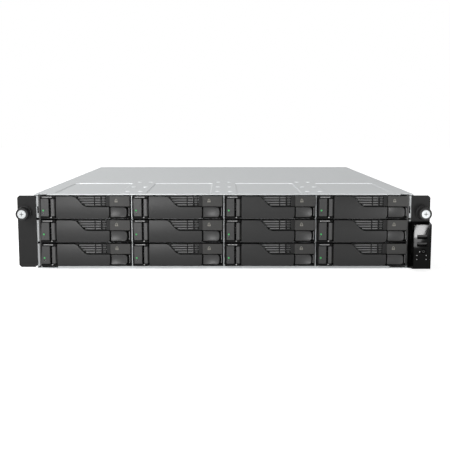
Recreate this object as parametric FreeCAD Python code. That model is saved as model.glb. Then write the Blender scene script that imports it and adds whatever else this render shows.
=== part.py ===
import FreeCAD, Part
import math
import os

# Two-unit rackmount storage server with twelve hot-swap drive trays, in millimetres.
# Design frame: x to the right, y to the rear from the chassis front edge, z up from under the floor.
# Every piece is moved along y at the end, so that the origin is under the middle of the whole object.

# Rack standard: overall width, spacing of the rail holes, height of the hole that the screws use
RACK_WIDTH = 482.6
RACK_HOLE_SPACING = 465.1
RACK_HOLE_Z = 66.7

# Chassis
CHASSIS_WIDTH = 444.0
CHASSIS_HEIGHT = 88.6
CHASSIS_DEPTH = 510.0
BASE_SHEET = 1.2
LIP_TOP = 2.9
LIP_HALF = 196.0
RAIL_HOLE_R = 2.1
RAIL_HOLE_Y = (120.0, 420.0)
COVER_SHEET = 1.0
COVER_SKIRT = 11.0
COVER_SEAM_Y = 188.0
COVER_LIP_HALF = 206.0
SEAM_GAP = 0.6
SLIP = 0.3
LID_TAB_X = (-165.0, 60.0)

# Drive bays
BAY_COLUMNS = 4
BAY_ROWS = 3
BAY_PITCH_X = 108.0
BAY_PITCH_Z = 28.0
FIRST_BAY_Z = 3.8
CAGE_DEPTH = 166.0
CAGE_TOP = 86.6
DIVIDER = 1.2
LEDGE_SHEET = 0.8
LEDGE_REACH = 2.5
ROW_JOINT = 0.75
DRIVE_WIDTH = 101.6
DRIVE_LENGTH = 147.0
DRIVE_HEIGHT = 26.1

# Tray front, from its lower left front corner
TRAY_WIDTH = 105.0
TRAY_HEIGHT = 26.5
TRAY_PROUD = 6.0
BEZEL_BACK = 8.5
BEZEL_DEPTH = 11.0
DRIVE_START = 20.0
HINGE_X = 15.5
HINGE_Y = 2.7
HINGE_R = 2.45
RUNNING_GAP = 0.08
POST_Z = (2.2, 24.3)
LEVER_LEFT = 19.2
LEVER_RIGHT = 80.8
LEVER_STEP_X = 42.0
LEVER_STEP_END_X = 51.5
LEVER_LOW_TOP = 13.8
LEVER_SHEET = 2.2
GRILLE_LEFT = 40.0
LOCK_LEFT = 81.6
LOCK_BOTTOM = 14.6
WEB = 1.4
BUTTON_X = (82.4, 101.2)
BUTTON_Z = (2.1, 13.5)

# Rack ear and its captive screw
EAR_SHEET = 2.0
EAR_Z = (2.2, 86.9)
EAR_LEG_Z = (8.0, 72.0)
EAR_LEG_REAR = 46.0
SCREW_STUD_R = 2.5
SCREW_STUD_Y = (0.4, 9.0)
SCREW_NECK_R = 1.9
KNOB_R = 7.0
KNOB_REACH = 18.4

# Control module on the right ear
MODULE_Z = (1.6, 56.4)
MODULE_REACH = 15.2
PORT_X = 230.1
PORT_Z = (39.85, 30.95)
PORT_HALF = 6.6
PORT_TALL = 2.95
POWER_X = 231.7
POWER_Z = 22.9
KEY_R = 2.5

# Cooling and power
FAN_SIZE = 80.0
FAN_X = (-140.0, 0.0, 140.0)
FAN_Y = 190.0
FAN_DEPTH = 25.0
FAN_BORE_R = 38.4
PSU_LEFT = 143.0
PSU_WIDTH = 73.5
PSU_HEIGHT = 39.0
PSU_LENGTH = 185.0
PSU_Z = (2.4, 43.4)
HANDLE_REACH = 26.0
LATCH_Z = 31.75

# Main board
BOARD_X = (-116.0, 130.0)
BOARD_Y = (262.0, 506.0)
BOARD_TOP = 9.6
JACK_COUNT = 4
JACK_PITCH = 16.0
JACK_LEFT = 20.0
JACK_TOP = 23.5
SLOT_X = (-91.0, -111.3)
CPU_TOP = 14.0
DATA_X = (92.0, 106.5)
DATA_TOP = 25.2
VIDEO_X = (112.0, 127.0)
VIDEO_TOP = 15.6
PORT_WINDOW_X = (14.0, 133.0)
PORT_WINDOW_TOP = 29.4

# Values that follow
HALF_WIDTH = CHASSIS_WIDTH / 2
COVER_UNDER = CHASSIS_HEIGHT - COVER_SHEET
WALL_X = HALF_WIDTH - COVER_SHEET - SLIP
WALL_INNER = WALL_X - BASE_SHEET
WALL_TOP = COVER_UNDER - 0.2
SKIRT_Z = COVER_UNDER - COVER_SKIRT
EAR_OUTER = RACK_WIDTH / 2
SCREW_X = RACK_HOLE_SPACING / 2
FAN_Z = CHASSIS_HEIGHT / 2
LATCH_X = PSU_LEFT + 42
COLUMN_X = [(i - (BAY_COLUMNS - 1) / 2) * BAY_PITCH_X for i in range(BAY_COLUMNS)]
ROW_Z = [FIRST_BAY_Z + i * BAY_PITCH_Z for i in range(BAY_ROWS)]
PORT_START_Y = CHASSIS_DEPTH - 18
PORT_END_Y = CHASSIS_DEPTH + 0.5
FRONT_Y = (KNOB_REACH - CHASSIS_DEPTH - HANDLE_REACH) / 2


def point(axis, u, v, w):
    """Point at (u, v) in the plane square to an axis, w along that axis."""
    if axis == "x":
        return FreeCAD.Vector(w, u, v)
    if axis == "y":
        return FreeCAD.Vector(u, w, v)
    return FreeCAD.Vector(u, v, w)


def bend(corners, i):
    """Where the outline enters, crosses and leaves corner i, which is rounded if it has a radius."""
    here = FreeCAD.Vector(corners[i][0], corners[i][1], 0)
    radius = corners[i][2] if len(corners[i]) > 2 else 0
    if radius == 0:
        return here, here, here
    before = corners[i - 1]
    after = corners[(i + 1) % len(corners)]
    back = (FreeCAD.Vector(before[0], before[1], 0) - here).normalize()
    ahead = (FreeCAD.Vector(after[0], after[1], 0) - here).normalize()
    half = back.getAngle(ahead) / 2
    reach = radius / math.tan(half)
    inward = (back + ahead).normalize() * (radius / math.sin(half) - radius)
    return here + back * reach, here + inward, here + ahead * reach


def outline(axis, corners, at):
    """Closed wire through corners (u, v) or (u, v, radius), in the plane square to an axis."""
    bends = [bend(corners, i) for i in range(len(corners))]
    edges = []
    for i, (enter, middle, leave) in enumerate(bends):
        last = bends[i - 1][2]
        if last.distanceToPoint(enter) > 1e-6:
            ends = [point(axis, p.x, p.y, at) for p in (last, enter)]
            edges.append(Part.LineSegment(*ends).toShape())
        if enter.distanceToPoint(leave) > 1e-6:
            arc = [point(axis, p.x, p.y, at) for p in (enter, middle, leave)]
            edges.append(Part.Arc(*arc).toShape())
    return Part.Wire(edges)


def extruded(axis, corners, start, end):
    """Solid with a flat outline, from start to end along an axis."""
    return Part.Face(outline(axis, corners, start)).extrude(point(axis, 0, 0, end - start))


def lofted(axis, first, first_at, second, second_at):
    """Solid that runs straight from one outline to another."""
    return Part.makeLoft([outline(axis, first, first_at), outline(axis, second, second_at)], True, True)


def block(x, y, z):
    """Box between low and high values along each axis."""
    return Part.makeBox(x[1] - x[0], y[1] - y[0], z[1] - z[0], FreeCAD.Vector(x[0], y[0], z[0]))


def rod(axis, u, v, radius, start, end):
    """Cylinder along an axis."""
    return Part.makeCylinder(radius, end - start, point(axis, u, v, start), point(axis, 0, 0, 1))


def rectangle(u, v):
    """Corners of a rectangle between low and high values."""
    return [(u[0], v[0]), (u[1], v[0]), (u[1], v[1]), (u[0], v[1])]


def cut_corners(u, v, cut):
    """Corners of a rectangle between low and high values, with each corner cut off."""
    near = [(u[0] + cut, v[0]), (u[1] - cut, v[0]), (u[1], v[0] + cut), (u[1], v[1] - cut)]
    return near + [(u[1] - cut, v[1]), (u[0] + cut, v[1]), (u[0], v[1] - cut), (u[0], v[0] + cut)]


def about(middle, half):
    """Low and high values either side of a middle."""
    return (middle - half, middle + half)


def even_sides(u, v, apothem, sides):
    """Corners of a shape with even sides, by the distance from its middle to a side."""
    radius = apothem / math.cos(math.pi / sides)
    turns = [math.pi * (2 * i + 1) / sides for i in range(sides)]
    return [(u + radius * math.cos(t), v + radius * math.sin(t)) for t in turns]


def joined(first, *others):
    """One solid from pieces that touch, without the seams between level faces."""
    return first.multiFuse(list(others)).removeSplitter()


def mirrored(shape):
    """The same piece on the other side of the middle plane."""
    return shape.mirror(FreeCAD.Vector(0, 0, 0), FreeCAD.Vector(1, 0, 0))


def chassis_base():
    """Bent pan: floor, side walls, top returns behind the bays, front lip and rail holes."""
    return_width = 10.0
    right = [(WALL_X, 0), (WALL_X, WALL_TOP), (WALL_INNER, WALL_TOP), (WALL_INNER, BASE_SHEET)]
    left = [(-x, z) for x, z in reversed(right)]
    pan = extruded("y", right + left, BASE_SHEET, CHASSIS_DEPTH)
    lip = block((-LIP_HALF, LIP_HALF), (0, BASE_SHEET), (0, LIP_TOP))
    return_x = (WALL_INNER - return_width, WALL_INNER)
    return_y = (COVER_SEAM_Y + 8, CHASSIS_DEPTH - 2)
    top_return = block(return_x, return_y, (WALL_TOP - BASE_SHEET, WALL_TOP))
    pan = joined(pan, lip, top_return, mirrored(top_return))
    middle_z = CHASSIS_HEIGHT / 2
    holes = [rod("x", y, middle_z, RAIL_HOLE_R, -HALF_WIDTH, HALF_WIDTH) for y in RAIL_HOLE_Y]
    return pan.cut(holes)


def cover_section():
    """Cross-section of both covers: a top sheet with a skirt down each side."""
    inner = HALF_WIDTH - COVER_SHEET
    bend_r = 0.9 * COVER_SHEET
    right = [(HALF_WIDTH, CHASSIS_HEIGHT, bend_r), (HALF_WIDTH, SKIRT_Z)]
    right += [(inner, SKIRT_Z), (inner, COVER_UNDER)]
    left = [(-corner[0], *corner[1:]) for corner in reversed(right)]
    return right + left


def front_cover():
    """Fixed cover over the bays, with a pressed recess above each column of trays."""
    recess_y = (9.0, 154.0)
    recess_half = 39.0
    press = 0.8
    slope = 1.6
    corner = 5.0
    lip_z = (COVER_UNDER - 0.3, COVER_UNDER)
    cover = extruded("y", cover_section(), BASE_SHEET, COVER_SEAM_Y)
    front = block((-HALF_WIDTH, HALF_WIDTH), (0, BASE_SHEET), (COVER_UNDER, CHASSIS_HEIGHT))
    lip = block((-COVER_LIP_HALF, COVER_LIP_HALF), (0, COVER_SHEET), lip_z)
    cover = joined(cover, front, lip)
    floor_y = (recess_y[0] + slope, recess_y[1] - slope)
    for x in COLUMN_X:
        mouth = cut_corners(about(x, recess_half), recess_y, corner)
        floor = cut_corners(about(x, recess_half - slope), floor_y, corner - 1)
        pan = lofted("z", mouth, COVER_UNDER, floor, COVER_UNDER - press)
        hollow = lofted("z", mouth, CHASSIS_HEIGHT, floor, CHASSIS_HEIGHT - press)
        cover = cover.fuse(pan).cut(hollow)
    notch_x = (COVER_LIP_HALF + 0.5, COVER_LIP_HALF + 10.5)
    notch = block(notch_x, (0, 3.5), (COVER_UNDER - 1, CHASSIS_HEIGHT))
    return cover.removeSplitter().cut([notch, mirrored(notch)])


def rear_lid():
    """Sliding lid with a rear lip and two screw tabs."""
    tab_half = 10.0
    tab_z = 71.5
    lip_z = 83.4
    lip_y = (CHASSIS_DEPTH + SLIP, CHASSIS_DEPTH + SLIP + COVER_SHEET)
    lid = extruded("y", cover_section(), COVER_SEAM_Y + SEAM_GAP, CHASSIS_DEPTH - 1)
    rear = block((-HALF_WIDTH, HALF_WIDTH), (CHASSIS_DEPTH - 1, lip_y[1]), (COVER_UNDER, CHASSIS_HEIGHT))
    edge = [(-214, COVER_UNDER), (-214, lip_z)]
    for x in LID_TAB_X:
        edge += [(x - tab_half, lip_z), (x - tab_half, tab_z + 4), (x - tab_half + 4, tab_z)]
        edge += [(x + tab_half - 4, tab_z), (x + tab_half, tab_z + 4), (x + tab_half, lip_z)]
    edge += [(214, lip_z), (214, COVER_UNDER)]
    return joined(lid, rear, extruded("y", edge, *lip_y))


def vent_slots(x, z, count):
    """Cutters for a row of upright vent slots, from the left slot's middle."""
    pitch = 17.6
    half = 5.0
    y = (CHASSIS_DEPTH - 3, CHASSIS_DEPTH + 1)
    return [block(about(x + i * pitch, half), y, z) for i in range(count)]


def rear_panel():
    """Rear wall with vents, windows for the supplies and ports, a port plate and two covered card slots.

    The window for the ports is open below.
    """
    plate_y = (CHASSIS_DEPTH - BASE_SHEET, CHASSIS_DEPTH)
    half = WALL_INNER - 0.2
    top = WALL_TOP - 0.2
    plate = block((-half, half), plate_y, (BASE_SHEET + 0.2, top))
    flange = block((half - BASE_SHEET, half), (plate_y[0] - 12, plate_y[0]), (3, 84))
    top_return = block((-204, 204), (plate_y[0] - 10, plate_y[0]), (top - BASE_SHEET, top))
    panel = joined(plate, flange, mirrored(flange), top_return)
    through = (plate_y[0] - 1, plate_y[1] + 1)
    windows = [block(PORT_WINDOW_X, through, (0, PORT_WINDOW_TOP))]
    for z in PSU_Z:
        window_z = (z - 0.4, z + PSU_HEIGHT + 0.4)
        windows.append(block((PSU_LEFT - 0.5, PSU_LEFT + PSU_WIDTH + 0.5), through, window_z))
    for x in SLOT_X:
        windows.append(block(about(x, 6.5), through, (9, 79)))
    windows += vent_slots(-66, (35, 68), 11)
    windows += vent_slots(-200, (14, 68), 4)
    behind = (plate_y[0] - 1, plate_y[0])
    covers = [block(about(x, 9.2), behind, (5, 83)) for x in SLOT_X]
    return [panel.cut(windows), port_plate(behind)] + covers


def port_plate(y):
    """Thin plate behind the rear wall's window, with a close opening for each block of ports."""
    rim = 2.0
    x = (PORT_WINDOW_X[0] - rim, PORT_WINDOW_X[1] + rim)
    plate = block(x, y, (BASE_SHEET + 0.2, PORT_WINDOW_TOP + rim))
    jacks = (JACK_LEFT, JACK_LEFT + JACK_COUNT * JACK_PITCH)
    openings = []
    for ports, top in ((jacks, JACK_TOP), (DATA_X, DATA_TOP), (VIDEO_X, VIDEO_TOP)):
        span = (ports[0] - SLIP, ports[1] + SLIP)
        openings.append(block(span, (y[0] - 1, y[1] + 1), (BOARD_TOP - SLIP, top + SLIP)))
    return plate.cut(openings)


def cage_ledges(x, side):
    """Tray ledges on one face of a cage wall, one for each row, to the side given as 1 or -1."""
    span = sorted((x, x + side * LEDGE_REACH))
    return [block(span, (12, CAGE_DEPTH - 6), (z - LEDGE_SHEET - 0.05, z - 0.05)) for z in ROW_Z]


def row_notches(x):
    """Cutters for the notches in a wall's front edge, one at each joint between rows."""
    return [block(x, (-1, 3), about(z - ROW_JOINT, 1.2)) for z in ROW_Z[1:]]


def cage_divider(x):
    """Wall between two columns, with a notched front edge, a top flange and ledges on both sides."""
    wall = block(about(x, DIVIDER / 2), (0, CAGE_DEPTH), (BASE_SHEET, CAGE_TOP))
    top = block(about(x, 11), (6, CAGE_DEPTH), (CAGE_TOP, COVER_UNDER - 0.1))
    ledges = cage_ledges(x + DIVIDER / 2, 1) + cage_ledges(x - DIVIDER / 2, -1)
    toe = block(about(x, 3), (-1, BASE_SHEET + SLIP), (0, LIP_TOP + 0.2))
    return joined(wall, top, *ledges).cut([toe] + row_notches(about(x, DIVIDER)))


def cage_side():
    """Right-hand cage wall with a front flange, which has a hole and two notches."""
    inner = COLUMN_X[-1] + TRAY_WIDTH / 2 + 0.7
    wall = block((inner, inner + 1), (0, CAGE_DEPTH), (BASE_SHEET, CAGE_TOP))
    flange = block((inner, WALL_X - 0.9), (0, 1), (LIP_TOP + 0.2, CAGE_TOP))
    side = joined(wall, flange, *cage_ledges(inner, -1))
    hole = block((inner + 1.8, inner + 3.2), (-1, 2), (66, 74))
    toe = block((inner - 3, WALL_X), (-1, BASE_SHEET + SLIP), (0, LIP_TOP + 0.2))
    return side.cut([hole, toe] + row_notches((inner + 1.2, WALL_X)))


def drive_cage():
    """Side walls and dividers that carry the trays."""
    walls = [cage_side(), mirrored(cage_side())]
    for left, right in zip(COLUMN_X, COLUMN_X[1:]):
        walls.append(cage_divider((left + right) / 2))
    return walls


def hinge_post():
    """Upright bar of the tray's hinge: round behind, where the lever turns on it, and faceted in front."""
    turns = [math.radians(turn) for turn in range(150, 391, 48)]
    plan = [(HINGE_X + HINGE_R * math.cos(t), HINGE_Y + HINGE_R * math.sin(t)) for t in turns]
    plan.append((HINGE_X, HINGE_Y + 2 * HINGE_R, HINGE_R))
    return extruded("z", plan, *POST_Z)


def light_panel():
    """Panel for the drive's lamps, bent back along the tray's left edge."""
    wall = 1.6
    face = 11.4
    sheet = 2.4
    plan = [(0, BEZEL_BACK), (0, 1.4), (1.8, 0), (face - 1, 0), (face, 0.6), (face, sheet)]
    plan += [(wall, sheet), (wall, BEZEL_BACK)]
    return extruded("z", plan, 3.0, 23.8)


def lock_panel():
    """Slotted vent grille with the lock panel beside it, on two webs."""
    left, right = GRILLE_LEFT, TRAY_WIDTH - 0.2
    grille_y = (2.6, 4.4)
    lock_y = (0.4, 2.8)
    slot = 1.7
    plan = [(left, BEZEL_BACK), (left, grille_y[0]), (LOCK_LEFT, grille_y[0]), (LOCK_LEFT, lock_y[0])]
    plan += [(right, lock_y[0]), (right, lock_y[1]), (LOCK_LEFT + WEB, lock_y[1])]
    plan += [(LOCK_LEFT + WEB, BEZEL_BACK), (LOCK_LEFT, BEZEL_BACK), (LOCK_LEFT, grille_y[1])]
    plan += [(left + WEB, grille_y[1]), (left + WEB, BEZEL_BACK)]
    panel = extruded("z", plan, LOCK_BOTTOM, TRAY_HEIGHT)
    return panel.cut([block((43, 76.8), (2, 5), (z, z + slot)) for z in (15.5, 18.3, 21.1, 23.9)])


def tray_bezel():
    """Moulded tray front: light panel, hinge brackets and post, vent grille, lock panel, catch pocket."""
    back = block((0, TRAY_WIDTH), (BEZEL_BACK, BEZEL_DEPTH), (0, TRAY_HEIGHT))
    bracket_z = ((0, POST_Z[0]), (POST_Z[1], TRAY_HEIGHT))
    brackets = [block((0, 18.0), (1.2, BEZEL_BACK), z) for z in bracket_z]
    right_wall = block((103.8, TRAY_WIDTH), (5.0, BEZEL_BACK), (0, TRAY_HEIGHT))
    floor = block((LOCK_LEFT, TRAY_WIDTH), (4.0, BEZEL_BACK), (0, WEB))
    bezel = joined(back, light_panel(), hinge_post(), *brackets, lock_panel(), right_wall, floor)
    through = (BEZEL_BACK - 1, BEZEL_DEPTH + 1)
    air = block((GRILLE_LEFT + 2.5, 80.5), through, (LOCK_BOTTOM + 1, TRAY_HEIGHT - 1.5))
    cam_window = block((3, 24), through, (9, 17.5))
    return bezel.cut([air, cam_window])


def tray_carrier():
    """Bent frame behind the bezel: a low front strip and a rail down each side."""
    rail = 0.9
    edge = 0.7
    low = 0.2
    left = block((edge, edge + rail), (BEZEL_DEPTH, 170), (low, 22))
    right = block((TRAY_WIDTH - edge - rail, TRAY_WIDTH - edge), (BEZEL_DEPTH, 170), (low, 22))
    strip = block((edge, TRAY_WIDTH - edge), (BEZEL_DEPTH, BEZEL_DEPTH + rail), (low, 4))
    return joined(left, strip, right)


def tray_drive():
    """Three-and-a-half-inch drive with bevelled upper edges."""
    x = about(TRAY_WIDTH / 2, DRIVE_WIDTH / 2)
    low = TRAY_HEIGHT - DRIVE_HEIGHT
    bevel = 2.5
    section = [(x[0], low), (x[1], low), (x[1], TRAY_HEIGHT - bevel), (x[1] - bevel, TRAY_HEIGHT)]
    section += [(x[0] + bevel, TRAY_HEIGHT), (x[0], TRAY_HEIGHT - bevel)]
    return extruded("y", section, DRIVE_START, DRIVE_START + DRIVE_LENGTH)


def tray_lever():
    """Cam lever: S-curved face with a rib behind it, and a hook round the post that ends in the cam toe."""
    low, high = 0.3, TRAY_HEIGHT - 0.3
    cut = 3.0
    step_r = 5.0
    face = [(LEVER_LEFT, low), (LEVER_RIGHT - cut, low), (LEVER_RIGHT, low + cut)]
    face += [(LEVER_RIGHT, LEVER_LOW_TOP), (LEVER_STEP_END_X, LEVER_LOW_TOP, step_r)]
    face += [(LEVER_STEP_X, high, step_r), (LEVER_LEFT, high)]
    arm = LEVER_LEFT + 3
    start_y = LEVER_SHEET - 0.2
    back_y = 7.4
    toe_root = HINGE_X - 3
    toe_y = 5.2
    toe_tip = 5.0
    hook_plan = [(LEVER_LEFT + 0.8, start_y), (arm, start_y), (arm, 4.7), (HINGE_X + 3, back_y)]
    hook_plan += [(toe_root, back_y), (toe_root, toe_y), (HINGE_X, 4.4), (HINGE_X + 3.5, 3.2)]
    toe_plan = [(toe_root, toe_y), (toe_root, back_y), (toe_tip, back_y + 0.4), (toe_tip, toe_y + 0.6)]
    hook = extruded("z", hook_plan, POST_Z[0] + 1.2, POST_Z[1] - 1.2)
    toe = extruded("z", toe_plan, 10.4, 16.0)
    rib = block((arm, 76), (start_y, 7.2), (1.2, 2.6))
    seat = rod("z", HINGE_X, HINGE_Y, HINGE_R + RUNNING_GAP, 0, TRAY_HEIGHT)
    return joined(extruded("y", face, 0, LEVER_SHEET), hook, toe, rib).cut(seat)


def release_button():
    """Sideways catch with a thumb scoop and cut corners at its free end."""
    left, right = BUTTON_X
    low, high = BUTTON_Z
    cut = 2.2
    depth = 6.8
    face = [(left, low), (right - cut, low), (right, low + cut)]
    face += [(right, high - cut), (right - cut, high), (left, high)]
    scoop = [(left + 1, 0), (left + 3.4, 1.9), (left + 6.6, 2.8)]
    scoop += [(left + 10.4, 2.4), (left + 14, 1.3), (left + 17, 0)]
    return extruded("y", face, 0, depth).cut(extruded("z", scoop, 0, TRAY_HEIGHT))


def backplane():
    """Board behind the bays with an air window for each column and a drive connector for each bay."""
    board_y = (168.0, 169.6)
    board = block((-213, 213), board_y, (4, 85))
    windows, connectors = [], []
    for x in COLUMN_X:
        left = x - TRAY_WIDTH / 2
        windows.append(block((left + 57, left + 98), (board_y[0] - 1, board_y[1] + 1), (8, 80)))
        connectors += [block((left + 20, left + 53), (161.4, board_y[0]), (z + 2, z + 7)) for z in ROW_Z]
    return [board.cut(windows)] + connectors


def fan_wall():
    """Bracket across the chassis and three fan frames, each with a motor boss on four arms."""
    sheet_y = (FAN_Y - BASE_SHEET, FAN_Y)
    plate = block((-214, 214), sheet_y, (BASE_SHEET, 85))
    foot = block((-214, 214), (FAN_Y, FAN_Y + 10), (BASE_SHEET, 2 * BASE_SHEET))
    opening_half = 37.0
    openings = []
    for x in FAN_X:
        opening = cut_corners(about(x, opening_half), about(FAN_Z, opening_half), 21)
        openings.append(extruded("y", opening, sheet_y[0] - 1, FAN_Y + 1))
    return [joined(plate, foot).cut(openings)] + [fan_frame(x) for x in FAN_X]


def fan_frame(x):
    """Frame of one fan."""
    rear = FAN_Y + FAN_DEPTH
    arm_y = (rear - 3, rear)
    box = block(about(x, FAN_SIZE / 2), (FAN_Y, rear), about(FAN_Z, FAN_SIZE / 2))
    frame = box.cut(extruded("y", even_sides(x, FAN_Z, FAN_BORE_R, 16), FAN_Y - 1, rear + 1))
    boss = extruded("y", even_sides(x, FAN_Z, 15, 8), *arm_y)
    across = block(about(x, FAN_SIZE / 2), arm_y, about(FAN_Z, 1.5))
    upright = block(about(x, 1.5), arm_y, about(FAN_Z, FAN_SIZE / 2))
    return joined(frame, boss, across, upright)


def fan_rotor(x):
    """Hub on a short shaft with seven pitched blades that widen to their tips."""
    blades = 7
    hub_r = 18.0
    hub_y = (FAN_Y + 3, FAN_Y + 19)
    pitch = 38
    root_half, tip_half = 4.4, 11.5
    sheet = 1.4
    tip = math.sqrt((FAN_BORE_R - 1) ** 2 - tip_half ** 2)
    middle = FreeCAD.Vector(x, sum(hub_y) / 2, FAN_Z)
    plan = [(-root_half, hub_r - 2), (root_half, hub_r - 2), (tip_half, tip), (-tip_half, tip)]
    flat = extruded("y", plan, 0, sheet)
    blade = flat.rotated(FreeCAD.Vector(0, 0, 0), FreeCAD.Vector(0, 0, 1), pitch).translated(middle)
    turns = [360 * (i + 0.25) / blades for i in range(blades)]
    vanes = [blade.rotated(middle, FreeCAD.Vector(0, 1, 0), turn) for turn in turns]
    hub = extruded("y", even_sides(x, FAN_Z, hub_r, 2 * blades), *hub_y)
    shaft = extruded("y", even_sides(x, FAN_Z, 2, 8), hub_y[1], FAN_Y + FAN_DEPTH - 3.4)
    return joined(hub, shaft, *vanes)


def motherboard():
    """Board on its standoffs with the processor, memory, card slots, ports and sockets."""
    under = BOARD_TOP - 1.6
    pieces = [block(BOARD_X, BOARD_Y, (under, BOARD_TOP))]
    for x in (-108, 7, 122):
        for y in (270, 480):
            pieces.append(extruded("z", even_sides(x, y, 3, 6), BASE_SHEET, under))
    pieces.append(block((-40, 0), (350, 390), (BOARD_TOP, CPU_TOP)))
    socket_top = BOARD_TOP + 9
    for x in (64, 74, 84, 94):
        pieces.append(block(about(x, 3.2), (296, 437), (BOARD_TOP, socket_top)))
    for x in (64, 84):
        pieces.append(block(about(x, 1.2), (299.8, 433.2), (socket_top, socket_top + 24)))
    for x in SLOT_X:
        pieces.append(block(about(x, 3.7), (380, 470), (BOARD_TOP, BOARD_TOP + 11)))
    return pieces + [data_ports(), video_port()]


def data_ports():
    """Two stacked data ports at the rear edge of the board."""
    stack = block(DATA_X, (PORT_START_Y, PORT_END_Y), (BOARD_TOP, DATA_TOP))
    deep = CHASSIS_DEPTH - 10
    for z in (10.6, 18.4):
        mouth = block((DATA_X[0] + 1, DATA_X[1] - 1), (deep, PORT_END_Y + 1), (z, z + 5.6))
        tongue = block((DATA_X[0] + 1.8, DATA_X[1] - 1.8), (deep, CHASSIS_DEPTH - 1), (z + 3, z + 4.8))
        stack = joined(stack.cut(mouth), tongue)
    return stack


def video_port():
    """Video port with its tapered mouth."""
    low, high = BOARD_TOP + 0.7, VIDEO_TOP - 0.6
    left, right = VIDEO_X[0] + 0.7, VIDEO_X[1] - 0.7
    deep = CHASSIS_DEPTH - 9
    shell = block(VIDEO_X, (PORT_START_Y, PORT_END_Y), (BOARD_TOP, VIDEO_TOP))
    mouth = [(left, high), (left, low + 2.1), (left + 1.9, low)]
    mouth += [(right - 1.9, low), (right, low + 2.1), (right, high)]
    shell = shell.cut(extruded("y", mouth, deep, PORT_END_Y + 1))
    tongue = block((left + 2.3, right - 2.3), (deep, CHASSIS_DEPTH - 1), (low + 1.9, low + 3.1))
    return joined(shell, tongue)


def network_ports():
    """Ganged jack: one housing with a stepped mouth for each network plug."""
    right = JACK_LEFT + JACK_COUNT * JACK_PITCH
    housing = block((JACK_LEFT, right), (PORT_START_Y, PORT_END_Y), (BOARD_TOP, JACK_TOP))
    half, key_half = 5.9, 3.0
    low, step, high = 11.2, 14.4, 21.8
    mouths = []
    for i in range(JACK_COUNT):
        x = JACK_LEFT + (i + 0.5) * JACK_PITCH
        mouth = [(x - half, high), (x - half, step), (x - key_half, step), (x - key_half, low)]
        mouth += [(x + key_half, low), (x + key_half, step), (x + half, step), (x + half, high)]
        mouths.append(extruded("y", mouth, CHASSIS_DEPTH - 14, PORT_END_Y + 1))
    return housing.cut(mouths)


def cpu_heatsink():
    """Finned block on the processor, its fins in line with the air flow."""
    left, right = -60.0, 20.0
    root, top = CPU_TOP + 5, CPU_TOP + 46
    fins = 9
    fin = 1.6
    pitch = (right - left - fin) / (fins - 1)
    comb = [(left, CPU_TOP)]
    for i in range(fins):
        x = left + i * pitch
        comb += [(x, root), (x, top), (x + fin, top), (x + fin, root)]
    comb = comb[:1] + comb[2:-1] + [(right, CPU_TOP)]
    return extruded("y", comb, 330, 410)


def psu_cage():
    """Bay for the two supplies: partition, shelf, and the board that both plug into."""
    y = (300.0, CHASSIS_DEPTH - BASE_SHEET)
    left = PSU_LEFT - 2.2
    partition = block((left, left + 1), y, (BASE_SHEET, 84))
    shelf_z = (PSU_Z[0] + PSU_HEIGHT + 0.5, PSU_Z[1] - 0.5)
    shelf = block((left + 1, WALL_INNER - 2.0), y, shelf_z)
    board = block((left + 2, 213), (298, 299.6), (6, 82))
    sockets = []
    for z in PSU_Z:
        middle = z + PSU_HEIGHT / 2
        socket = block((PSU_LEFT + 6, PSU_LEFT + 67), (299.6, 316), about(middle, 5))
        sockets.append(socket.cut(block((PSU_LEFT + 9, PSU_LEFT + 64), (303, 317), about(middle, 1.3))))
    return [joined(partition, shelf), board] + sockets


def psu_module(z):
    """Hot-swap supply: casing with fan guard, latch ears and edge contact, power inlet, and handle."""
    rear = CHASSIS_DEPTH
    front = rear - PSU_LENGTH
    middle_z = z + PSU_HEIGHT / 2
    casing = block((PSU_LEFT, PSU_LEFT + PSU_WIDTH), (front, rear), (z, z + PSU_HEIGHT))
    contact = block((PSU_LEFT + 10, PSU_LEFT + 63), (front - 12, front), about(middle_z, 0.8))
    ear_z = [about(z + LATCH_Z + side * 4.25, 0.75) for side in (-1, 1)]
    ears = [block(about(LATCH_X, 2.4), (rear, rear + 5.6), span) for span in ear_z]
    guard = guard_holes(PSU_LEFT + 21.5, middle_z)
    inlet_x, inlet_z = PSU_LEFT + 57.0, z + 13.5
    pocket = block(about(inlet_x, 15), (rear - 18, rear + 1), about(inlet_z, 10.5))
    casing = joined(casing, contact, *ears).cut(guard + [pocket])
    return [casing, power_inlet(inlet_x, inlet_z), psu_handle(z)]


def guard_holes(x, z):
    """Cutters for the honeycomb in front of a supply's fan: a middle hole and six round it."""
    pitch = 12.0
    hole_half = 5.2
    y = (CHASSIS_DEPTH - 4, CHASSIS_DEPTH + 1)
    middles = [(x, z)]
    for i in range(6):
        turn = math.radians(60 * i)
        middles.append((x + pitch * math.cos(turn), z + pitch * math.sin(turn)))
    return [extruded("y", even_sides(u, v, hole_half, 6), *y) for u, v in middles]


def power_inlet(x, z):
    """Mains inlet: a body with a mouth that has two cut corners, and three flat contacts."""
    rear = CHASSIS_DEPTH
    half, tall, cut = 12.0, 8.0, 5.0
    body = block(about(x, 15), (rear - 18, rear + 0.8), about(z, 10.5))
    mouth = [(x - half, z - tall), (x + half, z - tall), (x + half, z + tall - cut)]
    mouth += [(x + half - cut, z + tall), (x - half + cut, z + tall), (x - half, z + tall - cut)]
    body = body.cut(extruded("y", mouth, rear - 15, rear + 2))
    places = ((x - 7, z - 2), (x, z + 3.5), (x + 7, z - 2))
    contacts = [block(about(u, 1), (rear - 16, rear - 2), about(v, 2)) for u, v in places]
    return joined(body, *contacts)


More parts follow.
